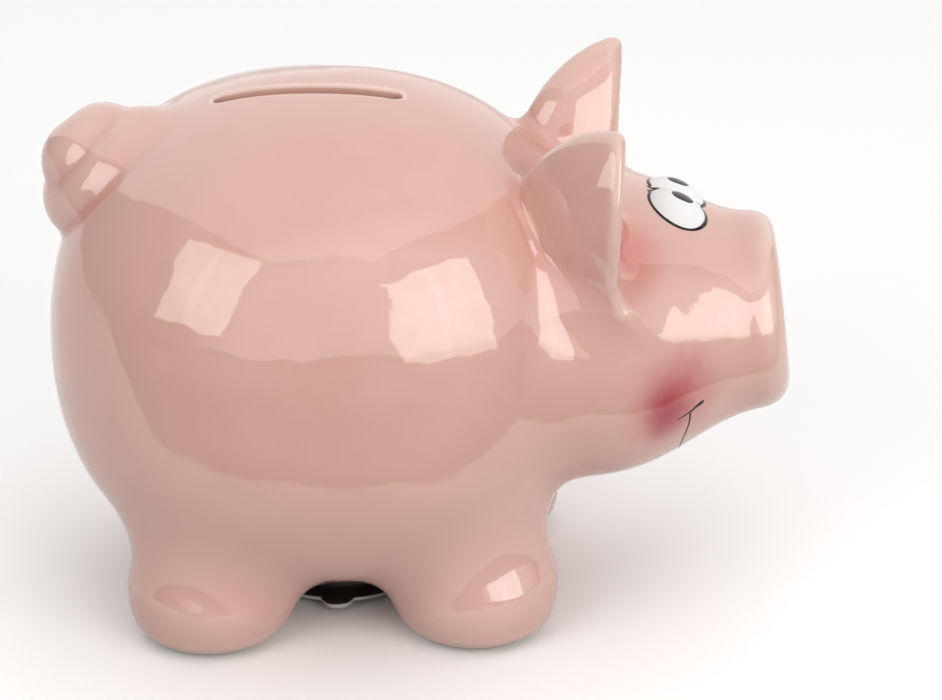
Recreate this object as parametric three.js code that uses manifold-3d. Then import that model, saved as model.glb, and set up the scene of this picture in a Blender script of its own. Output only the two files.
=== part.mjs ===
// Figural coin bank: a slip-cast ceramic pig that stands on four stub legs.
//
// Frame, in millimetres: +X is forward, toward the snout, +Y is the pig's left, and +Z is up.
// The origin lies on the surface that the feet stand on, under the middle of the overall length.
//
// The casting is described by smooth distance fields: a positive value is outside, a negative value is
// inside, and the zero level is the skin. The fields are turned into closed triangle meshes, and the
// cavity, the coin slot and the stopper hole are then cut with exact booleans.

import * as THREE from 'three';
import Module from 'manifold-3d';
import { mergeVertices } from 'three/addons/utils/BufferGeometryUtils.js';

const wasm = await Module();
wasm.setup();

// ---------------------------------------------------------------- sizes

// General
const WALL = 4; // thickness of the slip-cast wall
const GAP = 0.3; // clearance between neighbouring pieces
const FOOT_TRIM = 0.3; // depth ground off the feet to make them flat

// Torso
const TORSO_LENGTH = 120.6;
const TORSO_WIDTH = 113;
const TORSO_HEIGHT = 111;
const TORSO_FULLNESS = 2.3; // 2 is an ellipsoid, more is boxier
const TORSO_X = -20.95; // centre of the torso, fore and aft
const BELLY_HEIGHT = 6; // from the ground to the lowest point of the torso

// Head, placed from the front of the torso
const HEAD_LENGTH = 69.6;
const HEAD_WIDTH = 73;
const HEAD_HEIGHT = 67.6;
const HEAD_FULLNESS = 2.1;
const HEAD_SET_IN = 4; // the head's centre lies this far behind the front of the torso
const HEAD_RISE = 1.3; // above the torso's centre
const NECK_BLEND = 8;

// Snout, placed from the centre of the head
const SNOUT_ROOT = 9; // where the cone starts
const SNOUT_REACH = 45.3; // where its flat face is
const SNOUT_ROOT_RISE = 0.7;
const SNOUT_FACE_RISE = 3.2;
const SNOUT_ROOT_RADIUS = 24.5;
const SNOUT_FACE_RADIUS = 20.9;
const SNOUT_FLARE = 2.8; // extra radius at the top of the rim of the face
const SNOUT_FLARE_FADE = 40; // height over which the flare fades, from the top of the rim to the bottom
const SNOUT_FLARE_LENGTH = 12;
const SNOUT_BREADTH = 1.06; // width over height
const SNOUT_FACE_TILT = 7; // degrees, the face looks slightly up
const SNOUT_EDGE = 7.5;
const SNOUT_BLEND = 11;

// Legs, placed around the stopper so that its flange fits between them
const LEG_RADIUS = 18.5; // at the foot
const LEG_TOP_RADIUS = 14.5;
const LEG_BACK_Y = 28.5;
const LEG_FRONT_Y = 24.5;
const LEG_CLEARANCE = 2.5; // from the flange's edge to the side of a foot, at the flange's height
const LEG_FOOT_HEIGHT = 10; // centre of the foot's bulge
const LEG_TOP_HEIGHT = 48; // where the leg's core ends inside the torso
const LEG_LEAN = 0.25; // share of the way to the torso's centre that the top leans in
const LEG_CLOSE_IN = 0.2; // share of the way to the mid-plane that the top leans in
const LEG_BLEND = 10;
const FOOT_EDGE = 5;

// Ears, placed from the centre of the head: a leaf with a round lower lobe and a hollowed front
const EAR_X = 8.2;
const EAR_Y = 27;
const EAR_Z = 28.2;
const EAR_DEPTH = 23.5; // fore and aft, from the front plane to the back
const EAR_THICKNESS = 25; // across
const EAR_HEIGHT = 27.8; // above the ear's centre
const EAR_LEAN = 0.08; // outward lean, per mm of height
const EAR_SWEEP = 0.45; // the back edge runs inward, per mm of depth
const EAR_FRONT_TILT = 2.5; // degrees
const EAR_FULLNESS = 1.85;
const EAR_EDGE = 3;
const LOBE_RISE = 10; // the lobe's centre is this far above the ear's centre
const LOBE_DEPTH = 24.5;
const LOBE_THICKNESS = 27;
const LOBE_DROP = 21.5; // from the lobe's centre down to its lowest point
const LOBE_STRETCH = 3.3; // the lobe's upper half is this much longer, and the leaf ends inside it
const LOBE_FULLNESS = 2.2;
const LOBE_EDGE = 4;
const CUP_AHEAD = 3.3; // the cup's centre, ahead of the ear's centre
const CUP_RISE = 7;
const CUP_DEPTH = 6.5;
const CUP_WIDTH = 17;
const CUP_HEIGHT = 32;
const CUP_EDGE = 1.5;

// Tail, placed from the back and the top of the torso: a coil that tapers as it winds outward
const TAIL_IN = 13.9; // ahead of the torso's back
const TAIL_DOWN = 20.5; // below the torso's top
const TAIL_AXIS = new THREE.Vector3(-0.81, 0, 0.58).normalize();
const TAIL_COIL_RADIUS = 8.5;
const TAIL_TURNS = 1.35;
const TAIL_CLOSING = 0.4; // power with which the coil closes in, less is later
const TAIL_SEAT = -1.5; // start of the coil along its axis
const TAIL_RISE = 9.4; // height of the coil along its axis
const TAIL_ROOT_RADIUS = 9;
const TAIL_TIP_RADIUS = 7;
const TAIL_BLEND = 2.5; // fillet between the turns
const TAIL_STEPS = 36;

// Eyes, placed from the centre of the head: two shallow domes that meet on the mid-plane
const EYE_X = 20.35;
const EYE_Y = 3.6;
const EYE_Z = 24.6;
const EYE_LENGTH = 17.6;
const EYE_WIDTH = 17.2;
const EYE_DEPTH = 13.6;
const EYE_TILT = 38; // degrees, down toward the snout

// Coin slot along the top of the back, placed from the centre of the torso
const SLOT_X = -2.8;
const SLOT_LENGTH = 40.8;
const SLOT_WIDTH = 4.6;

// Stopper and its hole under the belly, placed from the centre of the torso
const STOPPER_X = 3.05;
const HOLE_RADIUS = 15.8;
const FLANGE_OVERLAP = 4.2; // how far the flange reaches past the hole
const FLANGE_THICKNESS = 1.4;
const NECK_SHOW = 3.3; // from the flange up to the lowest point of the belly
const GROOVE_DEPTH = 0.8; // the groove that the wall sits in
const LIP_HEIGHT = 3; // the lip above the wall
const LIP_ROUND = 1;
const TAB_WIDTH = 8;
const TAB_REACH = 2.8;

// Mesh spacing
const BODY_STEP = 6.2;
const CAVITY_STEP = 9;
const EAR_STEP = 2.9;
const TAIL_STEP = 2.3;
const EYE_STEP = 1.9;
const ROUND_SEGMENTS = 48;

// ---------------------------------------------------------------- derived places

const torsoCentre = [TORSO_X, 0, BELLY_HEIGHT + TORSO_HEIGHT / 2];
const torsoRadii = [TORSO_LENGTH / 2, TORSO_WIDTH / 2, TORSO_HEIGHT / 2];
const headCentre = [TORSO_X + TORSO_LENGTH / 2 - HEAD_SET_IN, 0, torsoCentre[2] + HEAD_RISE];
const headRadii = [HEAD_LENGTH / 2, HEAD_WIDTH / 2, HEAD_HEIGHT / 2];
const snoutRoot = [headCentre[0] + SNOUT_ROOT, 0, headCentre[2] + SNOUT_ROOT_RISE];
const snoutFace = [headCentre[0] + SNOUT_REACH, 0, headCentre[2] + SNOUT_FACE_RISE];
const earCentre = [headCentre[0] + EAR_X, EAR_Y, headCentre[2] + EAR_Z];
const eyeCentre = [headCentre[0] + EYE_X, EYE_Y, headCentre[2] + EYE_Z];
const tailCentre = new THREE.Vector3(
  TORSO_X - TORSO_LENGTH / 2 + TAIL_IN,
  0,
  BELLY_HEIGHT + TORSO_HEIGHT - TAIL_DOWN,
);
const lobeCentre = [earCentre[0], EAR_Y, earCentre[2] + LOBE_RISE];
const cupCentre = [earCentre[0] + CUP_AHEAD, EAR_Y, earCentre[2] + CUP_RISE];
const stopperX = TORSO_X + STOPPER_X;
const flangeTop = BELLY_HEIGHT - NECK_SHOW;
const flangeRadius = HOLE_RADIUS + FLANGE_OVERLAP;
const footRadius = Math.sqrt(LEG_RADIUS ** 2 - (LEG_FOOT_HEIGHT - flangeTop) ** 2);
const legAway = flangeRadius + LEG_CLEARANCE + footRadius;
const legs = [
  [stopperX - Math.sqrt(legAway ** 2 - LEG_BACK_Y ** 2), LEG_BACK_Y],
  [stopperX + Math.sqrt(legAway ** 2 - LEG_FRONT_Y ** 2), LEG_FRONT_Y],
];

// ---------------------------------------------------------------- distance fields

const dot = (a, b) => a[0] * b[0] + a[1] * b[1] + a[2] * b[2];
const minus = (a, b) => [a[0] - b[0], a[1] - b[1], a[2] - b[2]];
const clamp01 = (t) => Math.min(Math.max(t, 0), 1);

// Union of two fields with a fillet about k wide.
function blend(a, b, k) {
  const h = Math.max(1 - Math.abs(a - b) / k, 0);
  return Math.min(a, b) - (h * h * k) / 4;
}

// Intersection of two fields with a rounded edge about k wide.
function trim(a, b, k) {
  return -blend(-a, -b, k);
}

function superEllipsoid(p, centre, radii, power) {
  const q = [0, 1, 2].map((i) => Math.abs((p[i] - centre[i]) / radii[i]) + 1e-6);
  const sum = q[0] ** power + q[1] ** power + q[2] ** power;
  const slope = Math.hypot(...[0, 1, 2].map((i) => q[i] ** (power - 1) / radii[i]));
  return (sum ** (1 / power) - 1) / (slope * sum ** (1 / power - 1));
}

// Rod with round ends, of radius ra at a and rb at b.
function rod(p, a, b, ra, rb) {
  const ab = minus(b, a);
  const ap = minus(p, a);
  const t = clamp01(dot(ap, ab) / dot(ab, ab));
  return Math.hypot(ap[0] - t * ab[0], ap[1] - t * ab[1], ap[2] - t * ab[2]) - (ra + (rb - ra) * t);
}

function snoutField(p) {
  const axis = minus(snoutFace, snoutRoot);
  const length = Math.hypot(...axis);
  const u = axis.map((v) => v / length);
  const ap = minus(p, snoutRoot);
  const s = dot(ap, u);
  const rise = ap[2] - s * u[2];
  const across = Math.hypot(ap[0] - s * u[0], (ap[1] - s * u[1]) / SNOUT_BREADTH, rise);
  const taper = SNOUT_ROOT_RADIUS + (SNOUT_FACE_RADIUS - SNOUT_ROOT_RADIUS) * clamp01(s / length);
  const share = clamp01(0.5 + rise / SNOUT_FLARE_FADE);
  const flare = SNOUT_FLARE * share * clamp01((s - length + SNOUT_FLARE_LENGTH) / SNOUT_FLARE_LENGTH) ** 2;
  const tilt = THREE.MathUtils.degToRad(SNOUT_FACE_TILT);
  const face = dot(minus(p, snoutFace), [Math.cos(tilt), 0, Math.sin(tilt)]);
  return Math.max(trim((across - taper - flare) * 0.97, face, SNOUT_EDGE), -(s + SNOUT_ROOT + 1));
}

// The whole casting without its ears and tail. Both sides are the same, so |y| is used.
function bodyField(x, y, z) {
  const p = [x, Math.abs(y), z];
  const torso = superEllipsoid(p, torsoCentre, torsoRadii, TORSO_FULLNESS);
  const head = superEllipsoid(p, headCentre, headRadii, HEAD_FULLNESS);
  let f = blend(torso, head, NECK_BLEND);
  f = blend(f, snoutField(p), SNOUT_BLEND);
  for (const [legX, legY] of legs) {
    const foot = [legX, legY, LEG_FOOT_HEIGHT];
    const top = [legX + (TORSO_X - legX) * LEG_LEAN, legY * (1 - LEG_CLOSE_IN), LEG_TOP_HEIGHT];
    f = blend(f, rod(p, foot, top, LEG_RADIUS, LEG_TOP_RADIUS), LEG_BLEND);
  }
  return trim(f, -z - FOOT_TRIM, FOOT_EDGE);
}

function earField(x, y, z) {
  const dz = z - earCentre[2];
  const q = [x, Math.abs(y) - dz * EAR_LEAN - Math.min(x - earCentre[0], 0) * EAR_SWEEP, z];
  const leaf = superEllipsoid(
    [q[0], q[1], Math.max(z, earCentre[2])],
    earCentre,
    [EAR_DEPTH, EAR_THICKNESS / 2, EAR_HEIGHT],
    EAR_FULLNESS,
  );
  const lobe = superEllipsoid(
    q,
    lobeCentre,
    [LOBE_DEPTH, LOBE_THICKNESS / 2, z > lobeCentre[2] ? LOBE_DROP * LOBE_STRETCH : LOBE_DROP],
    LOBE_FULLNESS,
  );
  const cup = superEllipsoid(q, cupCentre, [CUP_DEPTH, CUP_WIDTH / 2, CUP_HEIGHT / 2], 2);
  const tilt = THREE.MathUtils.degToRad(EAR_FRONT_TILT);
  const front = (x - earCentre[0]) * Math.cos(tilt) - dz * Math.sin(tilt);
  return trim(trim(trim(leaf, lobe, LOBE_EDGE), front, EAR_EDGE), -cup, CUP_EDGE);
}

const tailSide = new THREE.Vector3(0, 1, 0).cross(TAIL_AXIS).normalize();
const tailAcross = TAIL_AXIS.clone().cross(tailSide);
const tailBeads = Array.from({ length: TAIL_STEPS }, (_, i) => {
  const t = i / (TAIL_STEPS - 1);
  const angle = -2 * Math.PI * TAIL_TURNS * t;
  const radius = TAIL_COIL_RADIUS * (1 - t) ** TAIL_CLOSING;
  const centre = tailCentre.clone()
    .addScaledVector(TAIL_AXIS, TAIL_SEAT + TAIL_RISE * t)
    .addScaledVector(tailSide, radius * Math.cos(angle))
    .addScaledVector(tailAcross, radius * Math.sin(angle));
  return { centre, radius: TAIL_ROOT_RADIUS + (TAIL_TIP_RADIUS - TAIL_ROOT_RADIUS) * t };
});

function tailField(x, y, z) {
  let f = Infinity;
  for (const { centre, radius } of tailBeads) {
    const d = Math.hypot(x - centre.x, y - centre.y, z - centre.z) - radius;
    f = f === Infinity ? d : blend(f, d, TAIL_BLEND);
  }
  return f;
}

function eyeField(x, y, z) {
  const tilt = THREE.MathUtils.degToRad(EYE_TILT);
  const [dx, dy, dz] = minus([x, y, z], eyeCentre);
  const q = [dx * Math.cos(tilt) - dz * Math.sin(tilt), dy, dx * Math.sin(tilt) + dz * Math.cos(tilt)];
  return superEllipsoid(q, [0, 0, 0], [EYE_LENGTH / 2, EYE_WIDTH / 2, EYE_DEPTH / 2], 2);
}

// ---------------------------------------------------------------- meshing

// Moves a point onto the zero level of the field, no further than reach.
function settle(field, p, reach) {
  const h = 0.05;
  const start = [...p];
  for (let i = 0; i < 4; i += 1) {
    const f = field(...p);
    const g = [
      field(p[0] + h, p[1], p[2]) - field(p[0] - h, p[1], p[2]),
      field(p[0], p[1] + h, p[2]) - field(p[0], p[1] - h, p[2]),
      field(p[0], p[1], p[2] + h) - field(p[0], p[1], p[2] - h),
    ].map((v) => v / (2 * h));
    const scale = f / Math.max(dot(g, g), 0.25);
    p = minus(p, g.map((v) => v * scale));
  }
  const moved = Math.hypot(...minus(p, start));
  return moved > reach ? start : p;
}

// Closed mesh of the field's zero level, with one vertex in each grid cell that the level crosses.
// The grid has a node plane at y = 0, so a field that is the same on both sides gives such a mesh.
function skin(field, box, step) {
  const low = box.min.toArray().map((v) => Math.floor(v / step) - 2);
  const count = box.max.toArray().map((v, i) => Math.ceil(v / step) + 3 - low[i]);
  const at = (i, j, k) => (i * count[1] + j) * count[2] + k;
  const place = (i, j, k) => [(low[0] + i) * step, (low[1] + j) * step, (low[2] + k) * step];
  const value = new Float64Array(count[0] * count[1] * count[2]);
  for (let i = 0; i < count[0]; i += 1) {
    for (let j = 0; j < count[1]; j += 1) {
      for (let k = 0; k < count[2]; k += 1) {
        value[at(i, j, k)] = field(...place(i, j, k)) || 1e-9;
      }
    }
  }
  // A cell face with inside points at two opposite corners only would pinch the mesh, so the nearer of
  // its outside points is counted as inside.
  const steps = [[1, 0, 0], [0, 1, 0], [0, 0, 1]];
  let pinched = true;
  while (pinched) {
    pinched = false;
    for (let i = 1; i < count[0] - 2; i += 1) {
      for (let j = 1; j < count[1] - 2; j += 1) {
        for (let k = 1; k < count[2] - 2; k += 1) {
          for (let axis = 0; axis < 3; axis += 1) {
            const [u, v] = [steps[(axis + 1) % 3], steps[(axis + 2) % 3]];
            const face = [[0, 0], [1, 0], [1, 1], [0, 1]].map(([m, n]) => at(
              i + m * u[0] + n * v[0],
              j + m * u[1] + n * v[1],
              k + m * u[2] + n * v[2],
            ));
            const inside = face.map((n) => value[n] < 0);
            if (inside[0] !== inside[2] || inside[1] !== inside[3] || inside[0] === inside[1]) continue;
            const [a, b] = inside[0] ? [face[1], face[3]] : [face[0], face[2]];
            value[value[a] < value[b] ? a : b] = -1e-9;
            pinched = true;
          }
        }
      }
    }
  }
  const vertexOf = new Map();
  const positions = [];
  const corners = [0, 1, 2, 3, 4, 5, 6, 7].map((c) => [c & 1, (c >> 1) & 1, (c >> 2) & 1]);
  const cubeCorners = [0, 1, 2, 3, 4, 5, 6, 7];
  const edges = [1, 2, 4].flatMap((bit) => cubeCorners.filter((c) => !(c & bit)).map((c) => [c, c | bit]));
  for (let i = 0; i < count[0] - 1; i += 1) {
    for (let j = 0; j < count[1] - 1; j += 1) {
      for (let k = 0; k < count[2] - 1; k += 1) {
        const values = corners.map(([a, b, c]) => value[at(i + a, j + b, k + c)]);
        const sum = [0, 0, 0];
        let crossings = 0;
        for (const [a, b] of edges) {
          if (values[a] < 0 === values[b] < 0) continue;
          const t = values[a] / (values[a] - values[b]);
          for (let n = 0; n < 3; n += 1) sum[n] += corners[a][n] + t * (corners[b][n] - corners[a][n]);
          crossings += 1;
        }
        if (crossings === 0) continue;
        const base = place(i, j, k);
        const p = sum.map((v, n) => base[n] + (v / crossings) * step);
        vertexOf.set(at(i, j, k), positions.length / 3);
        positions.push(...settle(field, p, step));
      }
    }
  }
  const indices = [];
  const apart = (a, b) => Math.hypot(...[0, 1, 2].map((n) => positions[3 * a + n] - positions[3 * b + n]));
  for (let i = 1; i < count[0] - 1; i += 1) {
    for (let j = 1; j < count[1] - 1; j += 1) {
      for (let k = 1; k < count[2] - 1; k += 1) {
        steps.forEach((u, axis) => {
          const inside = value[at(i, j, k)] < 0;
          if (inside === value[at(i + u[0], j + u[1], k + u[2])] < 0) return;
          const v = steps[(axis + 1) % 3];
          const w = steps[(axis + 2) % 3];
          const ring = [[0, 0], [1, 0], [1, 1], [0, 1]].map(([m, n]) => vertexOf.get(at(
            i - m * v[0] - n * w[0],
            j - m * v[1] - n * w[1],
            k - m * v[2] - n * w[2],
          )));
          const [a, b, c, d] = inside ? ring : ring.reverse();
          if (apart(a, c) < apart(b, d)) indices.push(a, b, c, a, c, d);
          else indices.push(a, b, d, b, c, d);
        });
      }
    }
  }
  const geometry = new THREE.BufferGeometry();
  geometry.setAttribute('position', new THREE.Float32BufferAttribute(positions, 3));
  geometry.setIndex(indices);
  return geometry;
}

function boxAround(centre, reach) {
  return new THREE.Box3().setFromCenterAndSize(
    new THREE.Vector3(...centre),
    new THREE.Vector3(...reach.map((v) => 2 * v)),
  );
}

// ---------------------------------------------------------------- booleans

function toSolid(geometry) {
  const plain = geometry.clone();
  plain.deleteAttribute('normal');
  plain.deleteAttribute('uv');
  const merged = mergeVertices(plain, 1e-4);
  return new wasm.Manifold(new wasm.Mesh({
    numProp: 3,
    vertProperties: new Float32Array(merged.attributes.position.array),
    triVerts: new Uint32Array(merged.index.array),
  }));
}

function toGeometry(solid) {
  const mesh = solid.getMesh();
  const geometry = new THREE.BufferGeometry();
  geometry.setAttribute('position', new THREE.BufferAttribute(mesh.vertProperties, 3));
  geometry.setIndex(new THREE.BufferAttribute(mesh.triVerts, 1));
  geometry.computeVertexNormals();
  return geometry;
}

// A bar with round ends along X, as the coin slot is, standing from z = 0 to z = height.
function slotGeometry(length, width, height) {
  const r = width / 2;
  const half = length / 2 - r;
  const outline = new THREE.Shape();
  outline.absarc(half, 0, r, -Math.PI / 2, Math.PI / 2, false);
  outline.absarc(-half, 0, r, Math.PI / 2, (3 * Math.PI) / 2, false);
  outline.closePath();
  return new THREE.ExtrudeGeometry(outline, { depth: height, bevelEnabled: false, curveSegments: 8 });
}

// ---------------------------------------------------------------- casting

const bodyBox = new THREE.Box3(
  new THREE.Vector3(TORSO_X - torsoRadii[0], -torsoRadii[1], -FOOT_TRIM),
  new THREE.Vector3(snoutFace[0] + SNOUT_EDGE, torsoRadii[1], BELLY_HEIGHT + TORSO_HEIGHT),
);
const outerSkin = toSolid(skin(bodyField, bodyBox, BODY_STEP));
const seatSkin = toSolid(skin((x, y, z) => bodyField(x, y, z) - GAP, bodyBox, BODY_STEP));
const cavity = toSolid(skin((x, y, z) => bodyField(x, y, z) + WALL, bodyBox, CAVITY_STEP));

const groundSize = 4 * TORSO_LENGTH;
const ground = toSolid(
  new THREE.BoxGeometry(groundSize, groundSize, groundSize).translate(0, 0, -groundSize / 2),
);
const slot = toSolid(
  slotGeometry(SLOT_LENGTH, SLOT_WIDTH, TORSO_HEIGHT)
    .translate(TORSO_X + SLOT_X, 0, torsoCentre[2]),
);
const holeHeight = BELLY_HEIGHT + TORSO_HEIGHT / 4;
const hole = toSolid(
  new THREE.CylinderGeometry(HOLE_RADIUS, HOLE_RADIUS, holeHeight, ROUND_SEGMENTS)
    .rotateX(Math.PI / 2)
    .translate(stopperX, 0, holeHeight / 2),
);
const casting = outerSkin.subtract(ground).subtract(cavity).subtract(slot).subtract(hole);

// ---------------------------------------------------------------- applied pieces

const earReach = [EAR_DEPTH + 2, EAR_THICKNESS + EAR_DEPTH * EAR_SWEEP, EAR_HEIGHT + 2];
const leftEar = toSolid(skin(
  (x, y, z) => earField(x, y, z),
  boxAround(earCentre, earReach),
  EAR_STEP,
)).subtract(seatSkin);
const rightEar = leftEar.mirror([0, 1, 0]);

const tailReach = TAIL_COIL_RADIUS + TAIL_RISE + 2 * TAIL_ROOT_RADIUS;
const tail = toSolid(skin(
  tailField,
  boxAround(tailCentre.toArray(), [tailReach, tailReach, tailReach]),
  TAIL_STEP,
)).subtract(seatSkin);

const eyeReach = EYE_LENGTH / 2 + 2;
const midPlane = toSolid(
  new THREE.BoxGeometry(groundSize, GAP, groundSize).translate(eyeCentre[0], 0, eyeCentre[2]),
);
const leftHalf = toSolid(
  new THREE.BoxGeometry(groundSize, groundSize, groundSize).translate(0, groundSize / 2, 0),
);
const leftEye = toSolid(skin(
  eyeField,
  boxAround(eyeCentre, [eyeReach, eyeReach, eyeReach]),
  EYE_STEP,
)).subtract(seatSkin).subtract(midPlane).intersect(leftHalf);
const rightEye = leftEye.mirror([0, 1, 0]);

// ---------------------------------------------------------------- stopper

// Height of the casting's outside over the rim of the hole, where the groove starts.
const neckRadius = HOLE_RADIUS - GAP;
const grooveRadius = neckRadius - GROOVE_DEPTH;
const neckTop = BELLY_HEIGHT;
const grooveTop = neckTop + WALL + 1.5;
const plugTop = grooveTop + LIP_HEIGHT;
const flangeBottom = flangeTop - FLANGE_THICKNESS;
const edge = FLANGE_THICKNESS / 4;
const stopperProfile = [
  [0, flangeBottom],
  [flangeRadius - edge, flangeBottom],
  [flangeRadius, flangeBottom + edge],
  [flangeRadius, flangeTop - edge],
  [flangeRadius - edge, flangeTop],
  [neckRadius, flangeTop],
  [neckRadius, neckTop],
  [grooveRadius, neckTop + GROOVE_DEPTH],
  [grooveRadius, grooveTop - GROOVE_DEPTH],
  [neckRadius, grooveTop],
  [neckRadius, plugTop - LIP_ROUND],
  [neckRadius - LIP_ROUND, plugTop],
  [0, plugTop],
].map(([r, z]) => new THREE.Vector2(r, z));
const plug = toSolid(new THREE.LatheGeometry(stopperProfile, ROUND_SEGMENTS).rotateX(Math.PI / 2));
const tabOutline = new THREE.Shape();
tabOutline.absellipse(0, 0, TAB_WIDTH / 2, TAB_REACH * 2, 0, 2 * Math.PI, false, 0);
const tab = toSolid(
  new THREE.ExtrudeGeometry(tabOutline, { depth: FLANGE_THICKNESS, bevelEnabled: false, curveSegments: 12 })
    .translate(0, -(flangeRadius - TAB_REACH), flangeBottom),
);
const stopper = plug.add(tab);

// ---------------------------------------------------------------- scene graph

function piece(name, solid, colour, roughness, metalness = 0) {
  const material = new THREE.MeshStandardMaterial({ color: colour, roughness, metalness });
  const mesh = new THREE.Mesh(toGeometry(solid), material);
  mesh.name = name;
  return mesh;
}

const bank = new THREE.Group();
bank.add(
  piece('body_shell', casting, 0xdeafa3, 0.12),
  piece('ear_left', leftEar, 0xe3b6aa, 0.12),
  piece('ear_right', rightEar, 0xe3b6aa, 0.12),
  piece('tail', tail, 0xe0b2a6, 0.12),
  piece('eye_left', leftEye, 0xe9e4e0, 0.1),
  piece('eye_right', rightEye, 0xe9e4e0, 0.1),
);

const stopperMesh = piece('stopper', stopper, 0x15120f, 0.5);
stopperMesh.position.x = stopperX;
bank.add(stopperMesh);

export default bank;
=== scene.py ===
"""Visual model of a pink glazed pig coin bank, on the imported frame.

Lengths in the shape code are millimetres, as in the CAD model, and become metres when a mesh is
made.
+X is forward, toward the snout, +Y is the pig's left, and +Z is up.
"""
import math

import bpy
import numpy as np
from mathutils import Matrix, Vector


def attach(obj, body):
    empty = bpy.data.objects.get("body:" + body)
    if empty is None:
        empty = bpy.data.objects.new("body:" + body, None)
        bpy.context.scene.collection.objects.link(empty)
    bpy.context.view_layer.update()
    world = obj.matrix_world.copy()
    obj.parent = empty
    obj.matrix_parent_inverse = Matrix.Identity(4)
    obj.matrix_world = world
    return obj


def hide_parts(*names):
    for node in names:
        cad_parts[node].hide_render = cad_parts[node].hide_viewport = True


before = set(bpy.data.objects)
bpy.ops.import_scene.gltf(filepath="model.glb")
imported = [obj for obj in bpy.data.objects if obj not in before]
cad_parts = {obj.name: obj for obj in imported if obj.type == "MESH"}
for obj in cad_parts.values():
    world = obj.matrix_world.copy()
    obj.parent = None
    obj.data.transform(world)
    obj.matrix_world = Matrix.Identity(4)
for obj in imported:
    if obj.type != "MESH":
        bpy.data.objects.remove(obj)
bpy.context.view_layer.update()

MM = 0.001

# ---------------------------------------------------------------- camera

TARGET = Vector((0.0116, 0.0, 0.055))
CAMERA_AZIMUTH = math.radians(1.4)
CAMERA_ELEVATION = math.radians(25.0)
CAMERA_DISTANCE = 0.8

camera_data = bpy.data.cameras.new("camera")
camera_data.sensor_width = 36.0
camera_data.lens = 137.0
camera = bpy.data.objects.new("camera", camera_data)
bpy.context.scene.collection.objects.link(camera)
away = Vector((
    math.sin(CAMERA_AZIMUTH) * math.cos(CAMERA_ELEVATION),
    -math.cos(CAMERA_AZIMUTH) * math.cos(CAMERA_ELEVATION),
    math.sin(CAMERA_ELEVATION),
))
camera.location = TARGET + away * CAMERA_DISTANCE
camera.rotation_euler = (-away).to_track_quat("-Z", "Y").to_euler()
bpy.context.scene.camera = camera

# ---------------------------------------------------------------- distance fields


def blend(a, b, k):
    h = np.clip(1 - np.abs(a - b) / k, 0, None)
    return np.minimum(a, b) - h * h * k * 0.25


def trim(a, b, k):
    return -blend(-a, -b, k)


def super_ellipsoid(p, centre, radii, power):
    q = np.abs((p - np.array(centre)) / np.array(radii)) + 1e-6
    total = (q ** power).sum(-1)
    slope = np.sqrt((((q ** (power - 1)) / np.array(radii)) ** 2).sum(-1))
    return (total ** (1 / power) - 1) / (slope * total ** (1 / power - 1))


def rod(p, a, b, ra, rb):
    a = np.array(a, float)
    ab = np.array(b, float) - a
    t = np.clip(((p - a) @ ab) / (ab @ ab), 0, 1)
    return np.linalg.norm(p - a - t[..., None] * ab, axis=-1) - (ra + (rb - ra) * t)


def both_sides(p):
    q = p.copy()
    q[..., 1] = np.abs(q[..., 1])
    return q


WALL = 4.0
FOOT_TRIM = 0.3
FOOT_EDGE = 5
TORSO_X = -20.95
TORSO_HALF_LENGTH = 60.3
TORSO = ((TORSO_X, 0, 61.5), (TORSO_HALF_LENGTH, 56.5, 55.5), 2.3)
HEAD_CENTRE = np.array((TORSO_X + TORSO_HALF_LENGTH - 4, 0, 62.8))
HEAD = (HEAD_CENTRE, (34.8, 36.5, 33.8), 2.1)
SNOUT_ROOT = HEAD_CENTRE + (9, 0, 0.7)
SNOUT_FACE = HEAD_CENTRE + (45.3, 0, 3.2)
SNOUT_ROOT_RADIUS, SNOUT_FACE_RADIUS = 24.5, 20.9
SNOUT_FLARE, SNOUT_FLARE_FADE, SNOUT_FLARE_LENGTH = 2.8, 40, 12
SNOUT_BREADTH = 1.06
SNOUT_FACE_TILT = math.radians(7)
SNOUT_EDGE = 7.5
NECK_BLEND, SNOUT_BLEND = 8, 11
NOSTRIL = SNOUT_FACE + (1.2, 7.2, 1.5)
NOSTRIL_RADII = (3.2, 3.0, 4.6)
NOSTRIL_EDGE = 1.6
STOPPER_X = TORSO_X + 3.05
HOLE_RADIUS = 15.8
FLANGE_RADIUS = HOLE_RADIUS + 4.2
FLANGE_TOP = 2.7
LEG_RADIUS, LEG_TOP_RADIUS = 18.5, 14.5
LEG_FOOT_HEIGHT, LEG_TOP_HEIGHT = 10, 48
LEG_BACK_Y, LEG_FRONT_Y = 28.5, 24.5
LEG_CLEARANCE = 2.5
LEG_LEAN, LEG_SPREAD_KEPT = 0.25, 0.8
LEG_BLEND = 10
LEG_AWAY = FLANGE_RADIUS + LEG_CLEARANCE + math.sqrt(
    LEG_RADIUS ** 2 - (LEG_FOOT_HEIGHT - FLANGE_TOP) ** 2)
LEGS = (
    (STOPPER_X - math.sqrt(LEG_AWAY ** 2 - LEG_BACK_Y ** 2), LEG_BACK_Y),
    (STOPPER_X + math.sqrt(LEG_AWAY ** 2 - LEG_FRONT_Y ** 2), LEG_FRONT_Y),
)
EAR_CENTRE = HEAD_CENTRE + (8.2, 27.0, 28.2)
LOBE_CENTRE = EAR_CENTRE + (0, 0, 10)
CUP_CENTRE = EAR_CENTRE + (3.3, 0, 7)
EAR_RADII, EAR_FULLNESS = (23.5, 12.5, 27.8), 1.85
LOBE_RADII, LOBE_FULLNESS = (24.5, 13.5, 21.5), 2.2
LOBE_STRETCH = 3.3
CUP_RADII = (6.5, 8.5, 16)
EAR_LEAN, EAR_SWEEP = 0.08, 0.45
EAR_FRONT_TILT = math.radians(2.5)
EAR_EDGE, LOBE_EDGE, CUP_EDGE = 3, 4, 1.5
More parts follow.
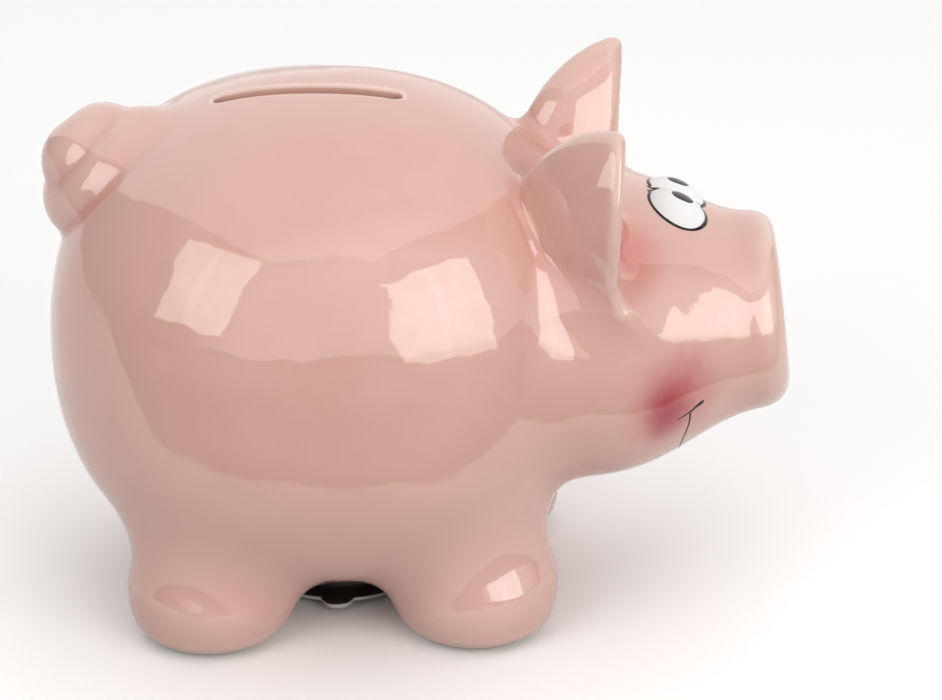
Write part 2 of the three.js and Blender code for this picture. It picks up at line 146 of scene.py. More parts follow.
TAIL_CENTRE = np.array((TORSO_X - TORSO_HALF_LENGTH + 13.9, 0, 96.5))
TAIL_AXIS = np.array((-0.81, 0, 0.58)) / math.hypot(0.81, 0.58)
TAIL_STEPS, TAIL_TURNS, TAIL_CLOSING = 36, 1.35, 0.4
TAIL_COIL_RADIUS, TAIL_SEAT, TAIL_RISE = 8.5, -1.5, 9.4
TAIL_ROOT_RADIUS, TAIL_TIP_RADIUS, TAIL_BLEND = 9, 7, 2.5
EYE_CENTRE = HEAD_CENTRE + (20.35, 3.6, 24.6)
EYE_TILT = math.radians(38)
EYE_RADII = (8.8, 8.6, 6.8)


def snout_field(q):
    axis = SNOUT_FACE - SNOUT_ROOT
    length = np.linalg.norm(axis)
    u = axis / length
    s = (q - SNOUT_ROOT) @ u
    side = q - SNOUT_ROOT - s[..., None] * u
    across = np.linalg.norm(side * np.array([1, 1 / SNOUT_BREADTH, 1]), axis=-1)
    taper = SNOUT_ROOT_RADIUS + (SNOUT_FACE_RADIUS - SNOUT_ROOT_RADIUS) * np.clip(s / length, 0, 1)
    ahead = np.clip((s - length + SNOUT_FLARE_LENGTH) / SNOUT_FLARE_LENGTH, 0, 1) ** 2
    flare = SNOUT_FLARE * np.clip(0.5 + side[..., 2] / SNOUT_FLARE_FADE, 0, 1) * ahead
    face = (q - SNOUT_FACE) @ np.array([math.cos(SNOUT_FACE_TILT), 0, math.sin(SNOUT_FACE_TILT)])
    return np.maximum(trim((across - taper - flare) * 0.97, face, SNOUT_EDGE), -(s + 10))


def body_field(p):
    q = both_sides(p)
    f = blend(super_ellipsoid(q, *TORSO), super_ellipsoid(q, *HEAD), NECK_BLEND)
    f = blend(f, snout_field(q), SNOUT_BLEND)
    for x, y in LEGS:
        foot = (x, y, LEG_FOOT_HEIGHT)
        top = (x + (TORSO_X - x) * LEG_LEAN, y * LEG_SPREAD_KEPT, LEG_TOP_HEIGHT)
        f = blend(f, rod(q, foot, top, LEG_RADIUS, LEG_TOP_RADIUS), LEG_BLEND)
    return trim(f, -q[..., 2] - FOOT_TRIM, FOOT_EDGE)


def ear_field(p):
    q = both_sides(p)
    dx, dz = q[..., 0] - EAR_CENTRE[0], q[..., 2] - EAR_CENTRE[2]
    q[..., 1] -= dz * EAR_LEAN + np.minimum(dx, 0) * EAR_SWEEP
    upper = q.copy()
    upper[..., 2] = np.maximum(q[..., 2], EAR_CENTRE[2])
    leaf = super_ellipsoid(upper, EAR_CENTRE, EAR_RADII, EAR_FULLNESS)
    lower = q.copy()
    shortened = LOBE_CENTRE[2] + (q[..., 2] - LOBE_CENTRE[2]) / LOBE_STRETCH
    lower[..., 2] = np.where(q[..., 2] > LOBE_CENTRE[2], shortened, q[..., 2])
    lobe = super_ellipsoid(lower, LOBE_CENTRE, LOBE_RADII, LOBE_FULLNESS)
    cup = super_ellipsoid(q, CUP_CENTRE, CUP_RADII, 2)
    front = dx * math.cos(EAR_FRONT_TILT) - dz * math.sin(EAR_FRONT_TILT)
    return trim(trim(trim(leaf, lobe, LOBE_EDGE), front, EAR_EDGE), -cup, CUP_EDGE)


def tail_beads():
    side = np.cross((0, 1, 0), TAIL_AXIS)
    side /= np.linalg.norm(side)
    across = np.cross(TAIL_AXIS, side)
    for t in np.linspace(0, 1, TAIL_STEPS):
        angle = -2 * math.pi * TAIL_TURNS * t
        radius = TAIL_COIL_RADIUS * (1 - t) ** TAIL_CLOSING
        centre = TAIL_CENTRE + TAIL_AXIS * (TAIL_SEAT + TAIL_RISE * t)
        centre = centre + radius * (math.cos(angle) * side + math.sin(angle) * across)
        yield centre, TAIL_ROOT_RADIUS + (TAIL_TIP_RADIUS - TAIL_ROOT_RADIUS) * t


def tail_field(p):
    f = np.linalg.norm(p - TAIL_CENTRE, axis=-1) - 14
    near = f < 22
    q = p[near]
    g = None
    for centre, radius in tail_beads():
        d = np.linalg.norm(q - centre, axis=-1) - radius
        g = d if g is None else blend(g, d, TAIL_BLEND)
    f[near] = g
    return f


def eye_field(p):
    q = both_sides(p) - EYE_CENTRE
    c, s = math.cos(EYE_TILT), math.sin(EYE_TILT)
    turned = np.stack([q[..., 0] * c - q[..., 2] * s, q[..., 1], q[..., 0] * s + q[..., 2] * c], -1)
    return super_ellipsoid(turned, (0, 0, 0), EYE_RADII, 2)


def skin_field(p):
    """The whole glazed outside: the casting with its ears and tail luted on."""
    nostril = super_ellipsoid(both_sides(p), NOSTRIL, NOSTRIL_RADII, 2)
    f = trim(body_field(p), -nostril, NOSTRIL_EDGE)
    f = blend(f, ear_field(p), np.clip((98 - p[..., 2]) * 0.7, 5, 13))
    return blend(f, tail_field(p), np.clip((p[..., 2] - 92) * 0.35, 1.6, 6))


def gradient(field, p, h=0.04):
    g = np.empty_like(p)
    for i in range(3):
        d = np.zeros(3)
        d[i] = h
        g[:, i] = (field(p + d) - field(p - d)) / (2 * h)
    return g


def settle(field, p, rounds=3):
    """Moves points onto the zero level of the field."""
    for _ in range(rounds):
        g = gradient(field, p)
        p = p - g * (field(p) / np.maximum((g * g).sum(-1), 0.25))[:, None]
    return p


def grid_values(field, axes, step):
    """Field values on a grid, computed finely only near the zero level."""
    skip = 4
    coarse = [np.append(a[::skip], a[-1]) for a in axes]
    rough = field(np.stack(np.meshgrid(*coarse, indexing="ij"), -1).reshape(-1, 3))
    rough = rough.reshape([len(a) for a in coarse])
    index = [
        np.minimum((np.arange(len(a)) + skip // 2) // skip, len(c) - 1)
        for a, c in zip(axes, coarse)
    ]
    values = rough[np.ix_(*index)]
    near = np.abs(values) < step * skip * 1.1
    where = np.argwhere(near)
    points = np.stack([axes[i][where[:, i]] for i in range(3)], -1)
    values[near] = field(points)
    return values


def polygonise(field, low, high, step):
    """Vertices and quads of the field's zero level, one vertex in each grid cell it crosses."""
    axes = [
        np.arange(math.floor(a / step) - 2, math.ceil(b / step) + 3) * step
        for a, b in zip(low, high)
    ]
    values = grid_values(field, axes, step)
    inside = values < 0
    corners = np.array([(a, b, c) for a in (0, 1) for b in (0, 1) for c in (0, 1)])
    size = np.array(values.shape)
    count = np.zeros(size - 1, int)
    for a, b, c in corners:
        count += inside[a:size[0] - 1 + a, b:size[1] - 1 + b, c:size[2] - 1 + c]
    cells = np.argwhere((count > 0) & (count < 8))
    number = np.full(size - 1, -1)
    number[tuple(cells.T)] = np.arange(len(cells))
    total = np.zeros((len(cells), 3))
    hits = np.zeros(len(cells))
    at = {tuple(c): values[tuple((cells + c).T)] for c in corners}
    for start in corners:
        for i in range(3):
            if start[i]:
                continue
            end = start.copy()
            end[i] = 1
            va, vb = at[tuple(start)], at[tuple(end)]
            crossed = (va < 0) != (vb < 0)
            t = np.where(crossed, va / np.where(crossed, va - vb, 1), 0)
            total += np.where(crossed[:, None], start + t[:, None] * (end - start), 0)
            hits += crossed
    origin = np.array([a[0] for a in axes])
    points = origin + (cells + total / hits[:, None]) * step
    points = settle(field, points)
    quads = []
    for i in range(3):
        j, k = (i + 1) % 3, (i + 2) % 3
        lower = np.take(inside, range(size[i] - 1), i)
        upper = np.take(inside, range(1, size[i]), i)
        edges = np.argwhere(lower != upper)
        unit = np.eye(3, dtype=int)
        around = ((0, 0), (1, 0), (1, 1), (0, 1))
        ring = np.stack(
            [number[tuple((edges - m * unit[j] - n * unit[k]).T)] for m, n in around], -1)
        outward = lower[tuple(edges.T)]
        ring[~outward] = ring[~outward][:, ::-1]
        quads.append(ring)
    return points, np.concatenate(quads)


# ---------------------------------------------------------------- meshes


def mesh_object(name, points, faces):
    mesh = bpy.data.meshes.new(name)
    mesh.from_pydata((np.asarray(points) * MM).tolist(), [], [tuple(map(int, f)) for f in faces])
    mesh.validate()
    obj = bpy.data.objects.new(name, mesh)
    bpy.context.scene.collection.objects.link(obj)
    return obj


def field_object(name, field, low, high, step):
    return mesh_object(name, *polygonise(field, low, high, step))


def block(name, low, high):
    """A box from its lowest to its highest corner."""
    (x0, y0, z0), (x1, y1, z1) = low, high
    corners = [(x, y, z) for z in (z0, z1) for x, y in ((x0, y0), (x1, y0), (x1, y1), (x0, y1))]
    faces = [(3, 2, 1, 0), (4, 5, 6, 7), (0, 1, 5, 4), (1, 2, 6, 5), (2, 3, 7, 6), (3, 0, 4, 7)]
    return mesh_object(name, corners, faces)


def smooth_shade(obj, crease):
    """Smooth shading, with edges kept sharp above a crease angle in degrees."""
    mesh = obj.data
    mesh.polygons.foreach_set("use_smooth", np.ones(len(mesh.polygons), bool))
    mesh.set_sharp_from_angle(angle=math.radians(crease))


def vertex_points(obj):
    points = np.empty(len(obj.data.vertices) * 3)
    obj.data.vertices.foreach_get("co", points)
    return points.reshape(-1, 3) / MM


def unit_normals(field, p):
    n = gradient(field, p)
    return n / np.linalg.norm(n, axis=-1)[:, None]


def cut(obj, tool, operation="DIFFERENCE"):
    """Applies an exact boolean of tool to obj."""
    modifier = obj.modifiers.new("cut", "BOOLEAN")
    modifier.operation = operation
    modifier.solver = "MANIFOLD"
    modifier.object = tool
    graph = bpy.context.evaluated_depsgraph_get()
    mesh = bpy.data.meshes.new_from_object(obj.evaluated_get(graph))
    obj.modifiers.clear()
    old = obj.data
    obj.data = mesh
    bpy.data.meshes.remove(old)


def discard(*objects):
    for obj in objects:
        mesh = obj.data
        bpy.data.objects.remove(obj)
        bpy.data.meshes.remove(mesh)


def smooth_normals(obj, field, crease=35):
    """Gives parts that lie on the field the field's own normals, and shades the rest by angle."""
    mesh = obj.data
    smooth_shade(obj, crease)
    corner_vertex = np.empty(len(mesh.loops), int)
    mesh.loops.foreach_get("vertex_index", corner_vertex)
    normals = np.empty(len(mesh.loops) * 3)
    mesh.corner_normals.foreach_get("vector", normals)
    normals = normals.reshape(-1, 3)
    points = vertex_points(obj)
    on_skin = np.abs(field(points)) < 0.06
    exact = np.zeros_like(points)
    exact[on_skin] = gradient(field, points[on_skin])
    exact /= np.maximum(np.linalg.norm(exact, axis=-1), 1e-9)[:, None]
    exact = exact[corner_vertex]
    use = on_skin[corner_vertex] & ((exact * normals).sum(-1) > 0.6)
    normals[use] = exact[use]
    mesh.normals_split_custom_set(normals.tolist())


def solid_from_rings(name, rings):
    """A closed solid from equally long rings of points."""
    n = len(rings[0])
    points = np.concatenate(rings)
    faces = []
    for r in range(len(rings) - 1):
        for i in range(n):
            a, b = r * n + i, r * n + (i + 1) % n
            faces.append((a, b, b + n, a + n))
    faces.append(tuple(range(n))[::-1])
    faces.append(tuple(range((len(rings) - 1) * n, len(rings) * n)))
    return mesh_object(name, points, faces)


# ---------------------------------------------------------------- glazed skin

# It is made once as a whole, then divided at the creases where the pieces are luted on.
SKIN_STEP = 1.25
LOW, HIGH = (-84, -57, -1), (85, 57, 119)
body = field_object("bank_casting", skin_field, LOW, HIGH, SKIN_STEP)


def luted_region(piece_field):
    return lambda p: np.maximum(piece_field(p) - body_field(p), -1.5 - body_field(p))


ground = block("ground_cutter", (-200, -200, -50), (200, 200, 0))
cut(body, ground)

pieces = {}
for name, low, high, region in (
    ("ear_left_glazed", (15, 2, 60), (55, 50, 125), luted_region(ear_field)),
    ("ear_right_glazed", (15, -50, 60), (55, -2, 125), luted_region(ear_field)),
    ("tail_glazed", (-95, -22, 75), (-50, 22, 120), luted_region(tail_field)),
):
    centre = (np.array(low) + np.array(high)) / 2
    half = (np.array(high) - np.array(low)) / 2
    boxed = lambda p, region=region, centre=centre, half=half: np.maximum(
        region(p), (np.abs(p - centre) - half).max(-1))
    tool = field_object(name + "_cutter", boxed, low, high, 1.5)
    piece = body.copy()
    piece.data = body.data.copy()
    piece.name = name
    piece.data.name = name
    bpy.context.scene.collection.objects.link(piece)
    cut(piece, tool, "INTERSECT")
    cut(body, tool)
    discard(tool)
    pieces[name] = piece
discard(ground)

cavity = field_object("cavity_cutter", lambda p: body_field(p) + WALL, LOW, HIGH, 3.5)
cut(body, cavity)
discard(cavity)

# Coin slot, with the lip that glaze leaves: the sides flare out over the last millimetre.
SLOT_CENTRE_X = TORSO_X - 2.8
SLOT_HALF = 18.1
SLOT_RADIUS = 2.3
LIP = 0.9


def stadium(offset, n=20):
    turn = np.linspace(-math.pi / 2, math.pi / 2, n)
    r = SLOT_RADIUS + offset
    right = np.stack([SLOT_HALF + r * np.cos(turn), r * np.sin(turn)], -1)
    left = -right
    top = np.stack([np.linspace(SLOT_HALF, -SLOT_HALF, 26)[1:-1], np.full(24, r)], -1)
    bottom = -top
    return np.concatenate([right, top, left, bottom])


def surface_height(xy):
    p = np.column_stack([xy, np.full(len(xy), 116.5)])
    for _ in range(8):
        p[:, 2] -= body_field(p) / np.maximum(gradient(body_field, p)[:, 2], 0.2)
    return p[:, 2]


rings = []
profile = [(LIP, 14.0)] + [
    (LIP * (1 - math.sin(a)), LIP * (1 - math.cos(a)))
    for a in np.linspace(0, math.pi / 2, 7)
] + [(0, 3.0)]
for offset, depth in profile:
    xy = stadium(offset) + np.array([SLOT_CENTRE_X, 0])
    z = np.full(len(xy), 122.0) if depth == 14.0 else surface_height(xy) - depth
    rings.append(np.column_stack([xy, z]))
xy = stadium(0) + np.array([SLOT_CENTRE_X, 0])
rings.append(np.column_stack([xy, np.full(len(xy), 96.0)]))
slot_tool = solid_from_rings("slot_cutter", rings[::-1])
cut(body, slot_tool)
discard(slot_tool)

# Stopper hole.
turn = np.linspace(0, 2 * math.pi, 96, endpoint=False)
circle = np.stack([np.cos(turn), np.sin(turn)], -1)
hole_tool = solid_from_rings("hole_cutter", [
    np.column_stack([circle * HOLE_RADIUS + np.array([STOPPER_X, 0]), np.full(96, z)])
    for z in (-5, 30)
])
cut(body, hole_tool)
discard(hole_tool)
smooth_normals(body, skin_field)
for piece in pieces.values():
    smooth_normals(piece, skin_field)

# ---------------------------------------------------------------- eyes

domes = field_object(
    "eye_left_dome", lambda p: trim(eye_field(p), -body_field(p) - 0.5, 0.4),
    (44, -15, 78), (70, 15, 98), 0.45)
for side, name in ((1, "eye_left_dome"), (-1, "eye_right_dome")):
    piece = domes.copy()
    piece.data = domes.data.copy()
    piece.name = name
    bpy.context.scene.collection.objects.link(piece)
    inner, outer = 0.02 * side, 40 * side
    half_space = block(
        "half_space", (0, min(inner, outer), 40), (100, max(inner, outer), 140))
    cut(piece, half_space, "INTERSECT")
    discard(half_space)
    smooth_normals(piece, eye_field, 50)
    pieces[name] = piece
discard(domes)

# ---------------------------------------------------------------- stopper

NECK = HOLE_RADIUS - 0.3
stopper_profile = [
    (0.0, 2.2), (12.5, 2.2), (13.5, 1.9), (14.5, 1.35), (18.6, 1.3), (19.4, 1.38), (19.85, 1.65),
    (20.0, 2.0), (19.85, 2.35), (19.5, 2.6), (16.6, 2.7), (15.9, 2.85), (NECK, 3.3), (NECK, 5.7),
    (NECK - 0.25, 6.2), (NECK - 0.8, 6.9), (NECK - 0.8, 10.6), (NECK - 0.3, 11.3), (NECK, 11.8),
    (NECK, 13.3), (NECK - 0.4, 14.1), (NECK - 1.2, 14.5), (13.0, 14.5), (12.6, 14.2), (12.4, 13.6),
    (12.3, 6.0), (11.8, 5.4), (0.0, 5.2),
]


def lathe(name, profile, centre_x, n=96):
    turn = np.linspace(0, 2 * math.pi, n, endpoint=False)
    points, faces, rows = [], [], []
    for r, z in profile:
        if r == 0:
            rows.append([len(points)] * n)
            points.append((centre_x, 0, z))
        else:
            rows.append(list(range(len(points), len(points) + n)))
            points += [(centre_x + r * math.cos(a), r * math.sin(a), z) for a in turn]
    for low, high in zip(rows, rows[1:]):
        for i in range(n):
            face = [low[i], low[(i + 1) % n], high[(i + 1) % n], high[i]]
            faces.append(tuple(dict.fromkeys(face)))
    return mesh_object(name, points, faces)


stopper = lathe("stopper_soft", stopper_profile, STOPPER_X)
tab_turn = np.linspace(0, 2 * math.pi, 48, endpoint=False)
tab_rings = []
for inset, z in ((0.5, 1.3), (0.12, 1.42), (0, 1.8), (0, 2.2), (0.12, 2.55), (0.5, 2.68)):
    x = STOPPER_X + (4 - inset) * np.sign(np.cos(tab_turn)) * np.abs(np.cos(tab_turn)) ** 0.8
    y = -17.2 + (5.6 - inset) * np.sin(tab_turn)
    tab_rings.append(np.column_stack([x, y, np.full(48, z)]))
tab = solid_from_rings("stopper_tab", tab_rings)
cut(stopper, tab, "UNION")
discard(tab)
smooth_shade(stopper, 40)
pieces["stopper_soft"] = stopper
pieces["bank_casting"] = body

# ---------------------------------------------------------------- painted details

EYE_ALONG = np.array((math.cos(EYE_TILT), 0, -math.sin(EYE_TILT)))
EYE_OUT = np.array((math.sin(EYE_TILT), 0, math.cos(EYE_TILT)))
ACROSS = np.array((0.0, 1.0, 0.0))


def mirror(points, side):
    return np.asarray(points, float) * np.array((1, side, 1))


def spline(points, n):
    """A smooth curve through the points, resampled to n points."""
    p = np.asarray(points, float)
    p = np.vstack([2 * p[0] - p[1], p, 2 * p[-1] - p[-2]])
    out = []
    for t in np.linspace(0, len(points) - 1, n):
        i = min(int(t), len(points) - 2)
        u = t - i
        a, b, c, d = p[i:i + 4]
        square = (2 * a - 5 * b + 4 * c - d) * u * u
        cube = (3 * b - a - 3 * c + d) * u ** 3
        out.append(0.5 * (2 * b + (c - a) * u + square + cube))
    return np.array(out)


def stroke(name, points, widths, field, lift=0.07):
    """A brush stroke: a thin closed ribbon with a rounded top that lies on the field's skin."""
    line = settle(field, np.asarray(points, float))
    normal = unit_normals(field, line)
    tangent = np.gradient(line, axis=0)
    side = np.cross(normal, tangent)
    side /= np.linalg.norm(side, axis=-1)[:, None]
    widths = np.asarray(widths)[:, None]
    rows = []
    for s in (-1, -0.8, -0.45, 0, 0.45, 0.8, 1):
        p = settle(field, line + side * widths * 0.5 * s)
        n = unit_normals(field, p)
        rows.append(p + n * lift * (1 - 0.85 * s * s) * np.minimum(widths, 1))
    for s in (0.8, -0.8):
        p = settle(field, line + side * widths * 0.5 * s)
        n = unit_normals(field, p)
        rows.append(p - n * 0.15)
    rings = np.stack(rows, 1)
    obj = solid_from_rings(name, list(rings))
    smooth_shade(obj, 60)
    return obj


def patch(name, centre, along, across, radii, field, lift=0.07):
    """A painted spot: a thin closed oval cap that lies on the field's skin."""
    turn = np.linspace(0, 2 * math.pi, 56, endpoint=False)
    wobble = 1 + 0.03 * np.sin(2 * turn + 0.6) + 0.018 * np.sin(5 * turn)
    rings = []
    for r in (0.02, 0.3, 0.6, 0.82, 0.95, 1.0):
        offset = radii[0] * np.cos(turn)[:, None] * along
        offset = offset + radii[1] * np.sin(turn)[:, None] * across
        p = settle(field, np.array(centre) + offset * (r * wobble)[:, None], 5)
        n = unit_normals(field, p)
        rings.append(p + n * lift * (1 - 0.8 * r ** 6))
    p = rings[-1]
    n = gradient(field, p)
    rings.append(p - n * 0.2)
    obj = solid_from_rings(name, rings)
    smooth_shade(obj, 60)
    return obj


def eye_and_body(p):
    return blend(eye_field(p), body_field(p), 0.5)


def eye_rim(angles):
    """Points where the eye's dome meets the head, for the left eye."""
    low, high = np.full(len(angles), -1.2), np.full(len(angles), 1.4)
    at = lambda up: (EYE_CENTRE
                     + EYE_RADII[0] * (np.cos(up) * np.cos(angles))[:, None] * EYE_ALONG
                     + EYE_RADII[1] * (np.cos(up) * np.sin(angles))[:, None] * ACROSS
                     + EYE_RADII[2] * np.sin(up)[:, None] * EYE_OUT)
    for _ in range(40):
        middle = (low + high) / 2
        outside = body_field(at(middle)) > 0
        high = np.where(outside, middle, high)
        low = np.where(outside, low, middle)
    return at((low + high) / 2)


paint = {}
rim = eye_rim(np.linspace(-2.6, math.pi + 2.6, 400))
rim = rim[rim[:, 1] > 0.25]
rim = spline(rim[::max(1, len(rim) // 24)], 150)
share = np.linspace(0, 1, len(rim))
rim_width = 0.62 + 0.34 * np.exp(-((share - 0.22) / 0.16) ** 2) + 0.08 * np.sin(share * 23)
rim_width *= np.clip(np.minimum(share, 1 - share) / 0.04, 0.25, 1)
for side, label in ((1, "left"), (-1, "right")):
    paint["eye_line_" + label] = stroke(
        "eye_line_" + label, mirror(rim, side), rim_width, eye_and_body)
    centre = (56.9, 5.0, 94.4) if side > 0 else (57.7, -3.4, 94.1)
    paint["pupil_" + label] = patch(
        "pupil_" + label, centre, EYE_ALONG, ACROSS, (2.75, 2.3), eye_field)

middle = [
    EYE_CENTRE * (1, 0, 1)
    + 0.9 * (EYE_RADII[0] * math.cos(a) * EYE_ALONG + EYE_RADII[2] * math.sin(a) * EYE_OUT)
    for a in np.radians((158, 146, 134, 122, 110))
]
paint["eye_divider"] = stroke(
    "eye_divider", spline(middle, 50), np.linspace(0.55, 0.12, 50), eye_and_body)

MOUTH_TICK = [
    (56.8, 28.4, 52.0), (58.3, 27.7, 52.8), (59.9, 27.0, 53.7), (61.1, 26.7, 54.6),
    (62.6, 26.1, 55.7),
]
MOUTH_LINE = [
    (59.7, 27.0, 53.1), (59.6, 25.7, 50.2), (59.0, 24.1, 47.1), (58.2, 21.5, 43.6),
    (57.4, 15.5, 39.4), (57.0, 7.5, 37.2),
]
for side, label in ((1, "left"), (-1, "right")):
    widths = np.interp(np.linspace(0, 1, 40), (0, 0.5, 0.92, 1), (0.25, 0.6, 1.05, 0.5))
    paint["mouth_tick_" + label] = stroke(
        "mouth_tick_" + label, spline(mirror(MOUTH_TICK, side), 40), widths, body_field)
chin = np.vstack([mirror(MOUTH_LINE, 1), mirror(MOUTH_LINE, -1)[::-1]])
paint["mouth_line"] = stroke("mouth_line", spline(chin, 140), np.full(140, 0.5), body_field)

# ---------------------------------------------------------------- materials


class Graph:
    """Short calls for building a material's nodes."""

    def __init__(self, name):
        self.material = bpy.data.materials.new(name)
        self.material.use_nodes = True
        self.tree = self.material.node_tree
        self.shader = self.tree.nodes["Principled BSDF"]
        self.point = self.node("ShaderNodeTexCoord").outputs["Object"]

    def node(self, kind, **values):
        node = self.tree.nodes.new(kind)
        for key, value in values.items():
            setattr(node, key, value)
        return node

    def plug(self, socket, value):
        if isinstance(value, bpy.types.NodeSocket):
            self.tree.links.new(value, socket)
        else:
            socket.default_value = value

    def math(self, operation, a, b=0.0, clamp=False):
        node = self.node("ShaderNodeMath", operation=operation, use_clamp=clamp)
        self.plug(node.inputs[0], a)
        self.plug(node.inputs[1], b)
        return node.outputs[0]

    def vector(self, operation, a, b=(0, 0, 0)):
        node = self.node("ShaderNodeVectorMath", operation=operation)
        self.plug(node.inputs[0], a)
        self.plug(node.inputs[1], b)
        return node.outputs["Value" if operation in ("LENGTH", "DISTANCE", "DOT_PRODUCT") else "Vector"]

    def axis(self, which, vector=None):
        node = self.node("ShaderNodeSeparateXYZ")
        self.plug(node.inputs[0], vector or self.point)
        return node.outputs[which]

    def noise(self, scale, detail=2.0, roughness=0.5, vector=None):
        node = self.node("ShaderNodeTexNoise")
        self.plug(node.inputs["Vector"], vector or self.point)
        node.inputs["Scale"].default_value = scale
        node.inputs["Detail"].default_value = detail
        node.inputs["Roughness"].default_value = roughness
        return node.outputs["Fac"]

    def steps(self, value, low, high, to_low=0.0, to_high=1.0, smooth=True):
        node = self.node("ShaderNodeMapRange", interpolation_type="SMOOTHSTEP" if smooth else "LINEAR")
        for socket, v in zip(node.inputs, (value, low, high, to_low, to_high)):
            self.plug(socket, v)
        return node.outputs["Result"]

    def mix(self, amount, a, b):
        node = self.node("ShaderNodeMix", data_type="RGBA")
        self.plug(node.inputs["Factor"], amount)
        for socket, value in ((node.inputs[6], a), (node.inputs[7], b)):
            self.plug(socket, value if isinstance(value, bpy.types.NodeSocket) else (*value, 1.0))
        return node.outputs[2]

    def bump(self, height, distance, strength=1.0, normal=None):
        node = self.node("ShaderNodeBump")
        node.inputs["Strength"].default_value = strength
        node.inputs["Distance"].default_value = distance
        self.plug(node.inputs["Height"], height)
        if normal is not None:
            self.plug(node.inputs["Normal"], normal)
        return node.outputs["Normal"]

    def attribute(self, name):
        return self.node("ShaderNodeAttribute", attribute_name=name).outputs["Fac"]

    def set(self, **values):
        for key, value in values.items():
            self.plug(self.shader.inputs[key.replace("_", " ")], value)


def two_sided(g):
    """The object position with |y|, so that what is painted on one side is painted on the other."""
    node = g.node("ShaderNodeCombineXYZ")
    g.plug(node.inputs[0], g.axis(0))
    g.plug(node.inputs[1], g.math("ABSOLUTE", g.axis(1)))
    g.plug(node.inputs[2], g.axis(2))
    return node.outputs[0]


def spray(g, folded, centre, stretch, size, strength, seed):
    """An airbrushed spot: 1 at the centre and fading over size metres, with a cloudy edge."""
    offset = g.vector("SUBTRACT", folded, tuple(v * MM for v in centre))
    offset = g.vector("MULTIPLY", offset, stretch)
    distance = g.vector("LENGTH", offset)
    cloud = g.noise(160.0, 3.0, 0.55, g.vector("ADD", g.point, (seed, 0.0, 0.0)))
    ragged = g.math("MULTIPLY", g.math("SUBTRACT", cloud, 0.5), size * 0.35)
    distance = g.math("ADD", distance, ragged)
    return g.steps(distance, size, 0.0, 0.0, strength)


def glaze_surface(g, colour, wave=0.9):
    """Clear gloss glaze: gentle waves, a fine orange peel and pinholes."""
    waves = g.noise(38.0, 2.5, 0.45)
    peel = g.noise(420.0, 2.0, 0.5)
    holes = g.node("ShaderNodeTexVoronoi", feature="F1")
    g.plug(holes.inputs["Vector"], g.point)
    holes.inputs["Scale"].default_value = 75.0
    sparse = g.steps(g.axis(0, holes.outputs["Color"]), 0.90, 0.94)
    pinhole = g.math("MULTIPLY", g.steps(holes.outputs["Distance"], 0.035, 0.0), sparse)
    normal = g.bump(waves, 0.0012, wave)
    normal = g.bump(peel, 0.00001, 1.0, normal)
    normal = g.bump(g.math("MULTIPLY", pinhole, -1.0), 0.0001, 0.6, normal)
    colour = g.mix(g.math("MULTIPLY", pinhole, 0.35), colour, (0.36, 0.16, 0.11))
    return colour, normal


def pink_glaze():
    g = Graph("pink_glaze")
    folded = two_sided(g)
    cloudy = g.steps(g.noise(14.0, 3.0, 0.5), 0.3, 0.72)
    colour = g.mix(cloudy, (0.590, 0.335, 0.276), (0.625, 0.372, 0.318))
    fine = g.steps(g.noise(95.0, 4.0, 0.6), 0.35, 0.7)
    colour = g.mix(g.math("MULTIPLY", fine, 0.22), colour, (0.640, 0.395, 0.335))
    bend = g.attribute("bend")
    colour = g.mix(g.steps(bend, 0.04, 0.32, 0.0, 0.55), colour, (0.700, 0.510, 0.435))
    colour = g.mix(g.steps(bend, -0.02, -0.28, 0.0, 0.55), colour, (0.540, 0.225, 0.175))
    cheek = spray(g, folded, (55.9, 29.8, 57.0), (1.0, 1.0, 0.85), 0.0150, 0.85, 0.0)
    colour = g.mix(cheek, colour, (0.460, 0.085, 0.095))
    mouth_corner = spray(g, folded, (54.6, 30.2, 54.6), (1.2, 1.0, 0.8), 0.0090, 0.92, 0.3)
    colour = g.mix(mouth_corner, colour, (0.350, 0.018, 0.040))
    brow = spray(g, folded, (46.0, 22.5, 88.5), (1.0, 0.75, 0.75), 0.0110, 0.75, 0.7)
    colour = g.mix(brow, colour, (0.560, 0.160, 0.140))
    colour, normal = glaze_surface(g, colour)
    lip = g.attribute("lip")
    colour = g.mix(g.math("MULTIPLY", lip, 0.6), colour, (0.83, 0.68, 0.58))
    inside = g.attribute("inside")
    colour = g.mix(inside, colour, (0.62, 0.27, 0.17))
    ragged = g.math("MULTIPLY", g.math("SUBTRACT", g.noise(260.0, 2.0), 0.5), 0.0009)
    height = g.math("ADD", g.axis(2), ragged)
    bare = g.steps(height, 0.0013, 0.0009)
    clay = g.mix(g.noise(900.0, 3.0), (0.62, 0.52, 0.39), (0.76, 0.68, 0.55))
    colour = g.mix(bare, colour, clay)
    polish = g.steps(g.noise(55.0, 2.0), 0.3, 0.7, 0.03, 0.07)
    rough = g.math("MAXIMUM", polish, g.math("MULTIPLY", bare, 0.8))
    rough = g.math("MAXIMUM", rough, g.math("MULTIPLY", inside, 0.35))
    g.set(Base_Color=colour, Roughness=rough, Normal=normal, IOR=1.68)
    return g.material


def white_glaze():
    g = Graph("white_glaze")
    cloudy = g.steps(g.noise(240.0, 3.0, 0.5), 0.35, 0.7)
    colour = g.mix(cloudy, (0.46, 0.435, 0.42), (0.53, 0.51, 0.495))
    edge = g.attribute("edge")
    colour = g.mix(g.math("MULTIPLY", edge, 0.35), colour, (0.42, 0.36, 0.34))
    colour, normal = glaze_surface(g, colour, 0.25)
    rough = g.steps(g.noise(130.0, 2.0), 0.3, 0.7, 0.03, 0.08)
    g.set(Base_Color=colour, Roughness=rough, Normal=normal, IOR=1.68)
    return g.material


